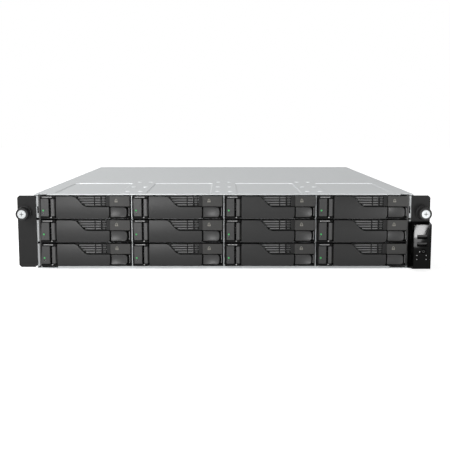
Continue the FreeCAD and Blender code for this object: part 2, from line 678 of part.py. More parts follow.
def psu_handle(z):
    """Loop handle of a supply with cut outer corners."""
    bar = 5.0
    cut = 4.0
    rear, tip = CHASSIS_DEPTH, CHASSIS_DEPTH + HANDLE_REACH
    left, right = PSU_LEFT + 48.0, PSU_LEFT + 72.0
    loop = [(left, rear), (left, tip - cut), (left + cut, tip)]
    loop += [(right - cut, tip), (right, tip - cut), (right, rear)]
    loop += [(right - bar, rear), (right - bar, tip - bar), (left + bar, tip - bar), (left + bar, rear)]
    return extruded("z", loop, *about(z + LATCH_Z, 3.25))


def psu_latch(z):
    """Sprung tab beside the handle, squeezed towards it to free the supply."""
    x, y = LATCH_X, CHASSIS_DEPTH + 3.2
    span = about(z + LATCH_Z, 3.1)
    half, knuckle_r = 0.9, 2.2
    right = [(x + knuckle_r, y - knuckle_r, knuckle_r), (x + knuckle_r, y)]
    right += [(x + half, y + 2), (x + half, y + 14), (x + 1.8, y + 18)]
    left = [(2 * x - corner[0], *corner[1:]) for corner in reversed(right)]
    return extruded("z", right + left, *span)


def rack_ear():
    """Right-hand rack bracket: front plate with the screw hole, and a leg along the chassis side."""
    front = -EAR_SHEET
    cut = 2.5
    left, right = WALL_X - 1.1, EAR_OUTER
    low, high = EAR_Z
    plate = [(left, low + cut), (left + cut, low), (right - cut, low), (right, low + cut)]
    plate += [(right, high - cut), (right - cut, high), (left, high)]
    leg_x = (WALL_X + 0.1, WALL_X + 0.1 + EAR_SHEET)
    leg = block(leg_x, (front, EAR_LEG_REAR), EAR_LEG_Z)
    bracket = joined(extruded("y", plate, front, 0), leg)
    return bracket.cut(rod("y", SCREW_X, RACK_HOLE_Z, SCREW_STUD_R + RUNNING_GAP, front - 1, 1))


def thumbscrew(x):
    """Captive rack screw: stud on a thinner neck, collar, fluted knob and a head with a cross recess."""
    flutes = 12
    front = -KNOB_REACH
    back = -EAR_SHEET - SLIP
    collar_y = (back - 3, back)
    head_y = (front, front + 0.8)
    neck = extruded("y", even_sides(x, RACK_HOLE_Z, SCREW_NECK_R, 8), back, SCREW_STUD_Y[0])
    stud = joined(rod("y", x, RACK_HOLE_Z, SCREW_STUD_R, *SCREW_STUD_Y), neck)
    collar = extruded("y", even_sides(x, RACK_HOLE_Z, 8.2, 16), *collar_y)
    rim = []
    for i in range(2 * flutes):
        turn = math.pi * i / flutes
        radius = KNOB_R if i % 2 else KNOB_R - 0.6
        rim.append((x + radius * math.cos(turn), RACK_HOLE_Z + radius * math.sin(turn)))
    knob = extruded("y", rim, head_y[1], collar_y[0])
    head = extruded("y", even_sides(x, RACK_HOLE_Z, 4.9, 16), *head_y)
    recess_y = (front - 1, front + 0.6)
    across = block(about(x, 2.8), recess_y, about(RACK_HOLE_Z, 0.6))
    upright = block(about(x, 0.6), recess_y, about(RACK_HOLE_Z, 2.8))
    return [stud, collar, knob, head.cut([across, upright])]


def control_panel():
    """Control module: tapered housing, gloss front plate and two data ports."""
    low, high = MODULE_Z
    front = -MODULE_REACH
    plate_y = (front, front + 1)
    near = (220.2, 240.8)
    far = (216.4, 241.0)
    near_z = (low + 0.4, high - 2.4)
    start = (near[0], plate_y[1], near_z[0], low, far[0])
    end = (near[1], -EAR_SHEET, near_z[1], high, far[1])
    housing = Part.makeWedge(*start, *end)
    plate = extruded("y", rectangle((220.6, 240.4), (low + 0.8, high - 2.8)), *plate_y)
    key_hole = extruded("y", even_sides(POWER_X, POWER_Z, KEY_R + 0.5, 16), front - 1, front + 2)
    key_well = block(about(POWER_X, KEY_R + 0.7), (front, -8), about(POWER_Z, KEY_R + 0.7))
    wells = [block(about(PORT_X, PORT_HALF), (front - 1, -3), about(z, PORT_TALL)) for z in PORT_Z]
    ports = [front_port(z) for z in PORT_Z]
    return [housing.cut(wells + [key_well]), plate.cut(wells + [key_hole])] + ports


def front_port(z):
    """Data port of the control module: a thin shell with a tongue."""
    wall = 0.4
    deep = -4.0
    front = -MODULE_REACH
    shell = block(about(PORT_X, PORT_HALF), (front, -3), about(z, PORT_TALL))
    mouth = block(about(PORT_X, PORT_HALF - wall), (front - 1, deep), about(z, PORT_TALL - wall))
    tongue = block(about(PORT_X, PORT_HALF - 1), (front + 1, deep), (z + 0.3, z + 2.1))
    return joined(shell.cut(mouth), tongue)


def power_button():
    """Round key in its well in the control module."""
    return rod("y", POWER_X, POWER_Z, KEY_R, -MODULE_REACH - SLIP, -10)


def keep(name, shapes):
    """Write one node in the object's own frame."""
    solids = shapes if isinstance(shapes, list) else [shapes]
    whole = solids[0] if len(solids) == 1 else Part.makeCompound(solids)
    whole.translated(FreeCAD.Vector(0, FRONT_Y, 0)).exportStep(f"parts/{name}.step")


def keep_bays():
    """Write the tray, lever and catch of every bay, from the top left bay to the bottom right one."""
    tray = [tray_bezel(), tray_carrier(), tray_drive()]
    lever, button = tray_lever(), release_button()
    number = 0
    for z in reversed(ROW_Z):
        for x in COLUMN_X:
            number += 1
            corner = FreeCAD.Vector(x - TRAY_WIDTH / 2, -TRAY_PROUD, z)
            keep(f"drive_tray_{number:02d}", [piece.translated(corner) for piece in tray])
            keep(f"tray_lever_{number:02d}", lever.translated(corner))
            keep(f"release_button_{number:02d}", button.translated(corner))


def main():
    os.makedirs("parts", exist_ok=True)
    keep("chassis_base", chassis_base())
    keep("front_cover", front_cover())
    keep("rear_lid", rear_lid())
    keep("rear_panel", rear_panel())
    keep("drive_cage", drive_cage())
    keep_bays()
    keep("backplane", backplane())
    keep("fan_wall", fan_wall())
    for i, x in enumerate(FAN_X, 1):
        keep(f"fan_rotor_{i}", fan_rotor(x))
    keep("motherboard", motherboard())
    keep("network_ports", network_ports())
    keep("cpu_heatsink", cpu_heatsink())
    keep("psu_cage", psu_cage())
    for i, z in enumerate(PSU_Z, 1):
        keep(f"psu_module_{i}", psu_module(z))
        keep(f"psu_latch_{i}", psu_latch(z))
    keep("rack_ear_right", rack_ear())
    keep("rack_ear_left", mirrored(rack_ear()))
    keep("thumbscrew_right", thumbscrew(SCREW_X))
    keep("thumbscrew_left", thumbscrew(-SCREW_X))
    keep("control_panel", control_panel())
    keep("power_button", power_button())


main()
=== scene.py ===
import math

import bmesh
import bpy
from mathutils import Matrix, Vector


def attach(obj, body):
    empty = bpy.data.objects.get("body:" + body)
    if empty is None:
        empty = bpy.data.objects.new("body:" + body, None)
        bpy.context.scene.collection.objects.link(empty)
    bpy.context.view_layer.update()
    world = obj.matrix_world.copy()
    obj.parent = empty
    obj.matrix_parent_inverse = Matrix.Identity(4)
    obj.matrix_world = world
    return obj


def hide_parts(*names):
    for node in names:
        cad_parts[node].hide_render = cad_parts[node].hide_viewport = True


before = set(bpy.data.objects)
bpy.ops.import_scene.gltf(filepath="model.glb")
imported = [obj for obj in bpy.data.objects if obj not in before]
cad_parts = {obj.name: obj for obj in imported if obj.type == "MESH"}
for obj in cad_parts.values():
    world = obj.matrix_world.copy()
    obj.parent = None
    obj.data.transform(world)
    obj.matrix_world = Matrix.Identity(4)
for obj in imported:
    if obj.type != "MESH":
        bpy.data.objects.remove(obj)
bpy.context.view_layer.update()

# Lengths are in millimetres and become metres when a piece is made. Lights and camera are in metres.
MM = 0.001

# Chassis
FRONT_Y = -258.8
REAR_Y = FRONT_Y + 510.0
ROOF_Z = 88.6
BACKPLANE_Y = FRONT_Y + 168.0
FAN_Y = FRONT_Y + 190.0
LID_TAB_X = (-165.0, 60.0)

# Drive bays, columns from the left and rows from the top
BAY_COLUMNS, BAY_ROWS = 4, 3
BAY_PITCH_X, BAY_PITCH_Z = 108.0, 28.0
FIRST_BAY_Z = 3.8
TRAY_WIDTH, TRAY_HEIGHT = 105.0, 26.5
TRAY_Y = FRONT_Y - 6.0
TRAY_X = [(i - (BAY_COLUMNS - 1) / 2) * BAY_PITCH_X - TRAY_WIDTH / 2 for i in range(BAY_COLUMNS)]
TRAY_Z = [FIRST_BAY_Z + i * BAY_PITCH_Z for i in reversed(range(BAY_ROWS))]
DIVIDER_X = [(i - BAY_COLUMNS / 2) * BAY_PITCH_X for i in range(1, BAY_COLUMNS)]

# Tray front, from its lower left front corner
HINGE = (15.5, 2.7)
HOOK_R, HOOK_Z = 2.53, (3.4, 23.1)
SLEEVE_R, SLEEVE_Z = 2.46, (3.3, 23.2)
LEVER_X = (19.2, 80.8)
LEVER_LOW_TOP = 13.8
LEVER_SHEET = 2.2
CATCH_X, CATCH_Z = (82.4, 101.2), (2.1, 13.5)

# Rack screws and control module
SCREW_X, SCREW_Z = 232.55, 66.7
MODULE_Y = FRONT_Y - 15.2
PORT_X, PORT_Z = 230.1, (39.85, 30.95)
KEY_X, KEY_Z = 231.7, 22.9
KEY_Y = MODULE_Y - 0.3

# Undersides of the supplies, the lower one first
SUPPLY_Z = (2.4, 43.4)

# Angle of a sharp edge, angle under which two faces count as one flat, and reach of a weld
SHARP_ANGLE = math.radians(32)
FLAT_ANGLE = math.radians(1)
WELD_REACH = 0.02


# Finishes

class Value:
    """A value in a material that can be used in sums like a number."""

    def __init__(self, tree, socket):
        self.tree = tree
        self.socket = socket

    @classmethod
    def node(cls, tree, kind, settings, inputs, output=0):
        """One output of a new shader node, by the node's type, settings and inputs."""
        made = tree.nodes.new(kind)
        for key, setting in settings.items():
            setattr(made, key, setting)
        for key, item in inputs.items():
            feed(tree, made.inputs[key], item)
        return cls(tree, made.outputs[output])

    def sum_of(self, operation, first, second):
        return self.node(self.tree, "ShaderNodeMath", {"operation": operation}, {0: first, 1: second})

    def __add__(self, other):
        return self.sum_of("ADD", self, other)

    def __radd__(self, other):
        return self.sum_of("ADD", other, self)

    def __sub__(self, other):
        return self.sum_of("SUBTRACT", self, other)

    def __rsub__(self, other):
        return self.sum_of("SUBTRACT", other, self)

    def __mul__(self, other):
        return self.sum_of("MULTIPLY", self, other)

    def __rmul__(self, other):
        return self.sum_of("MULTIPLY", other, self)

    def __gt__(self, other):
        return self.sum_of("GREATER_THAN", self, other)

    def swing(self, amount):
        """Change about the middle of a value between 0 and 1."""
        return (self - 0.5) * amount

    def blend(self, low, high):
        """A colour between two others, low where this value is 0 and high where it is 1."""
        factor, first, second, colour = 0, 6, 7, 2
        inputs = {factor: self, first: low, second: high}
        return self.node(self.tree, "ShaderNodeMix", {"data_type": "RGBA"}, inputs, colour)

    def stretched(self, axis, times):
        """A position scaled along one axis."""
        scale = tuple(times if name == axis else 1.0 for name in "XYZ")
        return self.node(self.tree, "ShaderNodeVectorMath", {"operation": "MULTIPLY"}, {0: self, 1: scale})

    def part(self, axis):
        """One coordinate of a position."""
        return self.node(self.tree, "ShaderNodeSeparateXYZ", {}, {0: self}, axis)

    def noise(self, scale, detail):
        """Cloudy noise at a position."""
        inputs = {"Vector": self, "Scale": scale, "Detail": detail}
        return self.node(self.tree, "ShaderNodeTexNoise", {}, inputs)


def feed(tree, socket, item):
    """Link a value to a socket, or set the socket to a constant."""
    if isinstance(item, Value):
        tree.links.new(item.socket, socket)
    elif isinstance(item, (tuple, list)) and len(item) == 3 and len(socket.default_value) == 4:
        socket.default_value = (*item, 1.0)
    else:
        socket.default_value = item


def grey(level, warm=0.0):
    """A near-neutral colour, straw-tinted where warm."""
    return (level * (1 + 0.3 * warm), level, level * (1 - warm))


def zinc(level):
    """The cool grey of zinc."""
    return (level * 0.967, level, level * 1.012)


class Finish:
    """A material with one surface shader, and its position as a value."""

    def __init__(self, name):
        self.material = bpy.data.materials.new(name)
        self.material.use_nodes = True
        self.tree = self.material.node_tree
        self.shader = self.tree.nodes["Principled BSDF"]
        self.place = Value.node(self.tree, "ShaderNodeTexCoord", {}, {}, "Object")

    def set(self, **inputs):
        """Feed the shader's sockets, by their names with underscores."""
        for key, item in inputs.items():
            feed(self.tree, self.shader.inputs[key.replace("_", " ")], item)
        return self

    def bump(self, height, strength, distance):
        """Fine relief from a height value."""
        inputs = {"Height": height, "Strength": strength, "Distance": distance}
        return self.set(Normal=Value.node(self.tree, "ShaderNodeBump", {}, inputs))


def moulding(name, level, rough, shine=0.5, warm=0.0):
    """Moulded plastic with a fine spark-eroded grain and a slightly uneven sheen."""
    finish = Finish(name)
    cloud = finish.place.noise(scale=28.0, detail=2.0)
    grain = finish.place.noise(scale=2400.0, detail=2.0)
    tone = cloud * 0.6 + grain * 0.4
    finish.set(Base_Color=tone.blend(grey(level * 0.86, warm), grey(level * 1.14, warm)))
    finish.set(Roughness=rough + cloud.swing(0.12) + grain.swing(0.1), Specular_IOR_Level=shine)
    return finish.bump(grain, strength=0.15, distance=0.0001).material


def zinc_sheet(name, level, rough, lines, metal=0.85, shine=0.5):
    """Zinc-coated sheet steel: rolling lines that are finer along one axis, and cloudy crystals."""
    finish = Finish(name)
    rolled = finish.place.stretched(*lines).noise(scale=60.0, detail=4.0)
    crystals = finish.place.noise(scale=140.0, detail=2.0)
    cloud = finish.place.noise(scale=9.0, detail=2.0)
    tone = rolled * 0.45 + crystals * 0.3 + cloud * 0.25
    finish.set(Base_Color=tone.blend(zinc(level * 0.9), zinc(level * 1.06)), Metallic=metal)
    finish.set(Roughness=rough + rolled.swing(0.14) + cloud.swing(0.08), Specular_IOR_Level=shine)
    return finish.bump(rolled, strength=0.05, distance=0.0002).material


def flange_sheet_painted_shadow(name, level, rough, edge):
    """Zinc sheet of the cage's front flanges, with a painted shadow: black from the bays out to a given
    distance, where the trays shade it.
    """
    finish = Finish(name)
    cloud = finish.place.noise(scale=140.0, detail=2.0)
    across = finish.place.part("X")
    ragged = cloud.swing(0.00004)
    # Painted shadow: the flange is black within the given distance of the middle, where the trays shade it.
    outside_painted_shadow = across * across + ragged > (edge * MM) ** 2
    finish.set(Base_Color=outside_painted_shadow.blend(grey(0.03), zinc(level)), Metallic=outside_painted_shadow * 0.4)
    finish.set(Roughness=rough + cloud.swing(0.1))
    return finish.material


def coated(name, level, rough, shine):
    """Powder coat with an orange-peel surface."""
    finish = Finish(name)
    peel = finish.place.noise(scale=420.0, detail=2.0)
    cloud = finish.place.noise(scale=16.0, detail=2.0)
    tone = peel * 0.5 + cloud * 0.5
    finish.set(Base_Color=tone.blend(grey(level * 0.88), grey(level * 1.12)))
    finish.set(Roughness=rough + cloud.swing(0.1), Specular_IOR_Level=shine)
    return finish.bump(peel, strength=0.3, distance=0.0003).material


def polished(name, level, rough, coat=0.3, shine=0.5):
    """Polished moulding with faint wiping marks."""
    finish = Finish(name)
    wipes = finish.place.stretched("Z", 6.0).noise(scale=45.0, detail=5.0)
    finish.set(Base_Color=wipes.blend(grey(level * 0.8), grey(level * 1.2)))
    finish.set(Roughness=rough + wipes * 0.06, Coat_Weight=coat, Specular_IOR_Level=shine)
    return finish.material


def lamp(name, colour, strength):
    """Lit lens with a slightly uneven glow."""
    finish = Finish(name)
    cloud = finish.place.noise(scale=700.0, detail=1.0)
    glow = cloud.blend(colour, tuple(channel * 0.7 for channel in colour))
    finish.set(Base_Color=colour, Emission_Color=glow, Emission_Strength=strength, Roughness=0.35)
    return finish.material


def printed(name, level, warm=0.0):
    """Screen-printed ink with a slightly worn tone."""
    finish = Finish(name)
    wear = finish.place.noise(scale=800.0, detail=3.0)
    finish.set(Base_Color=wear.blend(grey(level * 0.75, warm), grey(level * 1.1, warm)))
    finish.set(Roughness=0.6 + wear * 0.1)
    return finish.material


def board_finish(name, low, high):
    """Solder mask with traces of another tone."""
    finish = Finish(name)
    traces = finish.place.stretched("X", 8.0).noise(scale=70.0, detail=1.0) > 0.52
    cloud = finish.place.noise(scale=30.0, detail=2.0)
    tone = traces * 0.7 + cloud * 0.3
    finish.set(Base_Color=tone.blend(low, high), Roughness=0.4 + cloud * 0.15)
    return finish.material


COVER = zinc_sheet("cover_zinc", level=0.70, rough=0.46, lines=("Y", 14.0), metal=0.18, shine=0.2)
STEEL = zinc_sheet("chassis_zinc", level=0.60, rough=0.46, lines=("X", 14.0), metal=0.3, shine=0.3)
CAGE = zinc_sheet("cage_zinc", level=0.52, rough=0.40, lines=("Z", 14.0), metal=0.3)
# Front flanges with a painted shadow, black beside the bays out to 217.3 mm from the middle.
FLANGE_PAINTED_SHADOW = flange_sheet_painted_shadow("flange_zinc_painted_shadow", level=0.36, rough=0.40, edge=217.3)
SUPPLY = zinc_sheet("supply_zinc", level=0.60, rough=0.44, lines=("Z", 14.0), metal=0.4)
RIVET = zinc_sheet("rivet_zinc", level=0.92, rough=0.34, lines=("X", 1.0), metal=0.8)
# The recesses' rear walls and the cover's front lip take brighter zinc than the cover: painted highlights.
PRESSED_PAINTED_HIGHLIGHT = zinc_sheet("pressed_zinc_painted_highlight", level=0.94, rough=0.26, lines=("Y", 14.0), metal=0.9)
LIP_PAINTED_HIGHLIGHT = zinc_sheet("lip_zinc_painted_highlight", level=0.80, rough=0.40, lines=("Y", 14.0), metal=0.1)
PLATED = zinc_sheet("plated_shell", level=0.66, rough=0.28, lines=("Z", 6.0), metal=1.0)
DRIVE = zinc_sheet("drive_alloy", level=0.50, rough=0.42, lines=("X", 6.0), metal=0.35)
BEZEL = moulding("bezel_black", level=0.008, rough=0.52, shine=0.08)
LEVER = moulding("lever_grey", level=0.028, rough=0.34, shine=0.24)
CATCH = moulding("catch_grey", level=0.046, rough=0.32, shine=0.28)
LIGHT_PANEL = moulding("light_panel_grey", level=0.047, rough=0.36, shine=0.32)
LOCK_PANEL = moulding("lock_panel_grey", level=0.037, rough=0.44, shine=0.3, warm=0.04)
GRILLE = moulding("grille_grey", level=0.022, rough=0.46, shine=0.15)
POST = moulding("hinge_grey", level=0.09, rough=0.32, shine=0.3)
# Light grey that paints highlights on the grille's slats and on the catch's round end (the rim).
PALE_HIGHLIGHT_GREY = moulding("pale_highlight_grey", level=0.30, rough=0.42)
# Pale grey bar standing for the highlight on the glossy black bracket above each light panel: a painted
# highlight.
CLIP_PAINTED_HIGHLIGHT = polished("clip_painted_highlight", level=0.30, rough=0.2)
KNOB = moulding("knob_black", level=0.014, rough=0.42, shine=0.28)
FAN = moulding("fan_black", level=0.016, rough=0.45)
EAR = coated("ear_black", level=0.019, rough=0.48, shine=0.14)
GLOSS = polished("module_black", level=0.002, rough=0.02, coat=0.0, shine=0.08)
SLOT_DARK = moulding("port_dark", level=0.004, rough=0.5)
HEAD = zinc_sheet("screw_head", level=0.64, rough=0.34, lines=("X", 6.0), metal=0.2)
GREEN_LAMP = lamp("drive_lamp", colour=(0.03, 0.30, 0.07), strength=0.65)
DARK_LAMP = polished("dark_lamp", level=0.01, rough=0.15)
PALE_PRINT = printed("pale_print", level=0.28, warm=0.12)
DIM_PRINT = printed("dim_print", level=0.12)
WHITE_PRINT = printed("white_print", level=0.55)
BOARD = board_finish("solder_mask", low=(0.004, 0.05, 0.02), high=(0.012, 0.10, 0.04))
BLACK_PART = moulding("black_socket", level=0.012, rough=0.45)
FIN = zinc_sheet("fin_alloy", level=0.72, rough=0.34, lines=("Y", 8.0))


# Outlines

def rectangle(u, v):
    """Corners between low and high values."""
    return [(u[0], v[0]), (u[1], v[0]), (u[1], v[1]), (u[0], v[1])]


def rounded(corners, steps):
    """Outline with a round at each corner (u, v, radius)."""
    points = []
    for i, (u, v, radius) in enumerate(corners):
        here = Vector((u, v))
        back = (Vector(corners[i - 1][:2]) - here).normalized()
        ahead = (Vector(corners[(i + 1) % len(corners)][:2]) - here).normalized()
        half = back.angle(ahead) / 2
        middle = here + (back + ahead).normalized() * (radius / math.sin(half))
        start = here + back * (radius / math.tan(half)) - middle
        end = here + ahead * (radius / math.tan(half)) - middle
        for step in range(steps + 1):
            spoke = start.lerp(end, step / steps).normalized() * radius
            points.append(tuple(middle + spoke))
    return points


def rounded_box(u, v, radius):
    """Rectangle with one corner radius."""
    return rounded([(*corner, radius) for corner in rectangle(u, v)], steps=3)


def circle(u, v, radius, count):
    """Points round a circle."""
    turns = [2 * math.pi * i / count for i in range(count)]
    return [(u + radius * math.cos(t), v + radius * math.sin(t)) for t in turns]


def arc(middle, degrees, across, up):
    """Points at the given angles on an oval with two half widths."""
    turns = [math.radians(angle) for angle in degrees]
    return [(middle[0] + across * math.cos(t), middle[1] + up * math.sin(t)) for t in turns]


def band(middle, degrees, outer, inner):
    """Curved stripe between two ovals."""
    return arc(middle, degrees, *outer) + arc(middle, reversed(degrees), *inner)


def placed(axis, u, v, w):
    """Point at (u, v) in the plane square to an axis, w along it."""
    return {"x": (w, u, v), "y": (u, w, v), "z": (u, v, w)}[axis]


# Forms and pieces

class Form:
    """A mesh in millimetres, made of closed shells that each have a finish."""

    def __init__(self, name):
        self.name = name
        self.mesh = bmesh.new()
        self.finishes = []
        self.data = None

    def rings(self, rings, finish):
        """Skin through rings of points, with an end face on the first and last."""
        rows = [[self.mesh.verts.new(point) for point in ring] for ring in rings]
        count = len(rows[0])
        faces = []
        for low, high in zip(rows, rows[1:]):
            for i in range(count):
                j = (i + 1) % count
                faces.append((low[i], low[j], high[j], high[i]))
        faces += [rows[0][::-1], rows[-1]]
        if finish not in self.finishes:
            self.finishes.append(finish)
        for corners in faces:
            self.mesh.faces.new(corners).material_index = self.finishes.index(finish)

    def prism(self, axis, points, start, end, finish):
        """Solid with a flat outline."""
        self.rings([[placed(axis, u, v, w) for u, v in points] for w in (start, end)], finish)

    def block(self, x, y, z, finish):
        """Box between low and high values."""
        self.prism("z", rectangle(x, y), *z, finish)

    def turned(self, axis, u, v, profile, finish, count, base=0.0):
        """Turned solid from (radius, position along the axis) points, with positions from a base."""
        rings = []
        for radius, along in profile:
            rings.append([placed(axis, a, b, base + along) for a, b in circle(u, v, radius, count)])
        self.rings(rings, finish)

    def finished(self):
        """The mesh in metres with its finishes, smooth apart from its sharp edges. It is made once."""
        if self.data is None:
            bmesh.ops.recalc_face_normals(self.mesh, faces=self.mesh.faces)
            bmesh.ops.scale(self.mesh, vec=(MM, MM, MM), verts=self.mesh.verts)
            self.data = bpy.data.meshes.new(self.name)
            self.mesh.to_mesh(self.data)
            self.data.polygons.foreach_set("use_smooth", [True] * len(self.data.polygons))
            self.data.set_sharp_from_angle(angle=SHARP_ANGLE)
            for finish in self.finishes:
                self.data.materials.append(finish)
        return self.data

    def piece(self, name, body, at=(0, 0, 0), edge=0.0, stands_for=()):
        """An object that rides on a body, with softened edges. Several may share the mesh."""
        made = linked(name, self.finished())
        made.location = Vector(at) * MM
        if edge:
            soften(made, edge)
        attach(made, body)
        if stands_for:
            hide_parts(*stands_for)


def linked(name, data):
    """A new object in the scene."""
    made = bpy.data.objects.new(name, data)
    bpy.context.collection.objects.link(made)
    return made


def soften(piece, width, curved=True):
    """Small round on the sharp edges, of a piece with curved faces or flat ones."""
    bevel = piece.modifiers.new("edges", "BEVEL")
    bevel.width = width * MM
    bevel.segments = 2
    bevel.limit_method = "ANGLE"
    bevel.angle_limit = SHARP_ANGLE
    bevel.harden_normals = curved


def dress(node, finishes, rule=None, edge=0.0):
    """Finishes for a solid of the frame: the first all over, or one for each face by a rule."""
    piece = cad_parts[node]
    piece.data.materials.clear()
    for finish in finishes:
        piece.data.materials.append(finish)
    for face in piece.data.polygons:
        finish = rule(face.center / MM) if rule else finishes[0]
        face.material_index = finishes.index(finish)
    if edge:
        weld = piece.modifiers.new("weld", "WELD")
        weld.merge_threshold = WELD_REACH * MM
        flat = piece.modifiers.new("flat", "DECIMATE")
        flat.decimate_type = "DISSOLVE"
        flat.angle_limit = FLAT_ANGLE
        flat.delimit = {"MATERIAL"}
        soften(piece, edge, curved=False)


def within(value, span):
    """Whether a value lies between a low and a high one."""
    return span[0] < value < span[1]


# Covers and chassis

def dress_chassis():
    """Sheet steel of the chassis and what is fixed inside it."""
    dress("chassis_base", [STEEL], edge=0.3)
    dress("front_cover", [COVER, LIP_PAINTED_HIGHLIGHT, PRESSED_PAINTED_HIGHLIGHT], cover_part, edge=0.3)
    dress("rear_lid", [COVER], edge=0.3)
    dress("rear_panel", [STEEL], edge=0.15)
    dress("drive_cage", [CAGE, FLANGE_PAINTED_SHADOW], cage_part, edge=0.2)
    dress("psu_cage", [STEEL])
    dress("backplane", [BOARD, BLACK_PART], backplane_part)
    dress("fan_wall", [STEEL, FAN], fan_wall_part, edge=0.4)
    dress("motherboard", [BOARD, BLACK_PART, PLATED, SLOT_DARK], board_part, edge=0.15)
    dress("network_ports", [PLATED, SLOT_DARK], jack_part, edge=0.15)
    dress("cpu_heatsink", [FIN])
    for i in (1, 2, 3):
        dress(f"fan_rotor_{i}", [FAN], edge=0.3)


def cover_part(p):
    """Front lip, rear wall of a pressed recess or flat sheet, by place. The lip and the rear walls take
    brighter zinc as painted highlights.
    """
    lip_back = FRONT_Y + 0.6
    recess_rear = (FRONT_Y + 149.0, FRONT_Y + 154.0)
    recess_z = (ROOF_Z - 0.7, ROOF_Z - 0.1)
    if p.y < lip_back and p.z < recess_z[1]:
        return LIP_PAINTED_HIGHLIGHT
    return PRESSED_PAINTED_HIGHLIGHT if within(p.y, recess_rear) and within(p.z, recess_z) else COVER


def cage_part(p):
    """Front flanges beside the bays, which carry a painted shadow, or the rest of the cage, by place."""
    flange_back, flange_x = FRONT_Y + 0.05, 215.0
    return FLANGE_PAINTED_SHADOW if p.y < flange_back and abs(p.x) > flange_x else CAGE


def backplane_part(p):
    """Drive connectors in front of the board or the board itself, by place."""
    return BLACK_PART if p.y < BACKPLANE_Y - 0.05 else BOARD


def fan_wall_part(p):
    """Fan frames behind the bracket or the bracket itself, by place."""
    foot_top = 2.5
    return FAN if p.y > FAN_Y + 0.05 and p.z > foot_top else STEEL


def board_part(p):
    """Board, sockets, port shells or the inside of a port, by place."""
    port_start = REAR_Y - 18.1
    board_z = (7.9, 9.7)
    if p.y <= port_start:
        return BOARD if within(p.z, board_z) else BLACK_PART
    data_x, video_x = (92.95, 105.55), (112.65, 126.35)
    lower_z, upper_z, video_z = (10.5, 16.3), (18.3, 24.1), (10.25, 15.05)
    in_data = within(p.x, data_x) and (within(p.z, lower_z) or within(p.z, upper_z))
    in_video = within(p.x, video_x) and within(p.z, video_z)
    mouth_y = (REAR_Y - 11.2, REAR_Y + 0.3)
    return SLOT_DARK if (in_data or in_video) and within(p.y, mouth_y) else PLATED


def jack_part(p):
    """Inside of the network jacks' mouths or their shells, by place."""
    mouth_x, mouth_y, mouth_z = (21.0, 83.0), (REAR_Y - 15.2, REAR_Y - 0.2), (11.0, 22.0)
    in_mouth = within(p.x, mouth_x) and within(p.y, mouth_y) and within(p.z, mouth_z)
    return SLOT_DARK if in_mouth else PLATED


def cover_rivets():
    """Rivets that hold the cover to the cage dividers, in pairs."""
    form = Form("cover_rivets")
    row_y = (28.0, 92.0, 168.0)
    half_pair = 7.5
    dome = [(2.9, -0.1), (2.9, 0.15), (2.5, 0.4), (1.6, 0.55), (0.5, 0.6)]
    for x in DIVIDER_X:
        for y in row_y:
            for side in (-half_pair, half_pair):
                form.turned("z", x + side, FRONT_Y + y, dome, RIVET, count=20, base=ROOF_Z)
    form.piece("cover_rivets", "chassis")


def lid_screws():
    """Captive screws in the tabs of the rear lid."""
    form = Form("lid_screws")
    screw_z = 77.5
    drilled_head = [(4.6, 1.3), (4.6, 5.4), (4.2, 5.8), (1.4, 5.8), (1.4, 5.0), (0.3, 5.0)]
    for x in LID_TAB_X:
        form.turned("y", x, screw_z, drilled_head, HEAD, count=24, base=REAR_Y)
    form.piece("lid_screws", "lid", edge=0.15)


# Drive trays

def tray_part(left, low):
    """Rule for the pieces of one tray: bezel, light panel, lock panel, carrier, drive and grille."""
    bezel_back, drive_front = 11.02, 19.0
    drive_x = (1.65, 103.35)
    light_x, light_z, light_back = (1.2, 10.7), (2.9, 23.9), 2.35
    lock_left, lock_back = 81.5, 2.85
    grille_left, grille_back = 40.0, 2.65

    def choose(p):
        x, y, z = p.x - left, p.y - TRAY_Y, p.z - low
        if y > bezel_back:
            return DRIVE if within(x, drive_x) and y > drive_front else CAGE
        if within(x, light_x) and within(z, light_z) and y < light_back:
            return LIGHT_PANEL
        if x > lock_left and y < lock_back:
            return LOCK_PANEL
        if within(x, (grille_left, lock_left)) and y < grille_back:
            return GRILLE
        return BEZEL
    return choose


def lever_form():
    """Cam lever with its crowned S-curved face, hook, cam toe and rib."""
    form = Form("lever")
    left, right = LEVER_X
    low, high = 0.3, TRAY_HEIGHT - 0.3
    step_x, step_r = (41.0, 52.5), 9.0
    face = [(left, low, 0.5), (right, low, 4.0), (right, LEVER_LOW_TOP, 0.8)]
    face += [(step_x[1], LEVER_LOW_TOP, step_r), (step_x[0], high, step_r), (left, high, 0.5)]
    form.prism("y", rounded(face, steps=8), 0.0, LEVER_SHEET, LEVER)
    crown(form, low, high, strips=14, depth=0.75)
    arm, arm_y, back_y = left + 3.0, LEVER_SHEET - 0.2, 7.4
    toe_root, toe_tip, toe_y, toe_z = HINGE[0] - 3.0, 5.0, 5.2, (10.4, 16.0)
    hook = [(left + 0.8, arm_y), (arm, arm_y), (arm, 4.7), (HINGE[0] + 3.0, back_y)]
    hook += [(toe_root, back_y), (toe_root, toe_y)]
    hook += arc(HINGE, range(130, 15, -10), HOOK_R, HOOK_R)
    form.prism("z", hook, *HOOK_Z, LEVER)
    toe = [(toe_tip, toe_y + 0.6), (toe_root, toe_y), (toe_root, back_y), (toe_tip, back_y + 0.4)]
    form.prism("z", toe, *toe_z, LEVER)
    rib_right, rib_back, rib_z = 76.0, 7.2, (1.2, 2.6)
    form.block((arm, rib_right), (arm_y, rib_back), rib_z, LEVER)
    return form


def crown(form, low, high, strips, depth):
    """Cut a flat front into strips and curve it back towards its lower and upper edges."""
    for i in range(1, strips):
        z = low + (high - low) * i / strips
        geometry = form.mesh.verts[:] + form.mesh.edges[:] + form.mesh.faces[:]
        bmesh.ops.bisect_plane(form.mesh, geom=geometry, plane_co=(0, 0, z), plane_no=(0, 0, 1))
    half = TRAY_HEIGHT / 2
    front = 0.01
    for vert in form.mesh.verts:
        if vert.co.y < front:
            vert.co.y += depth * ((vert.co.z - half) / half) ** 2


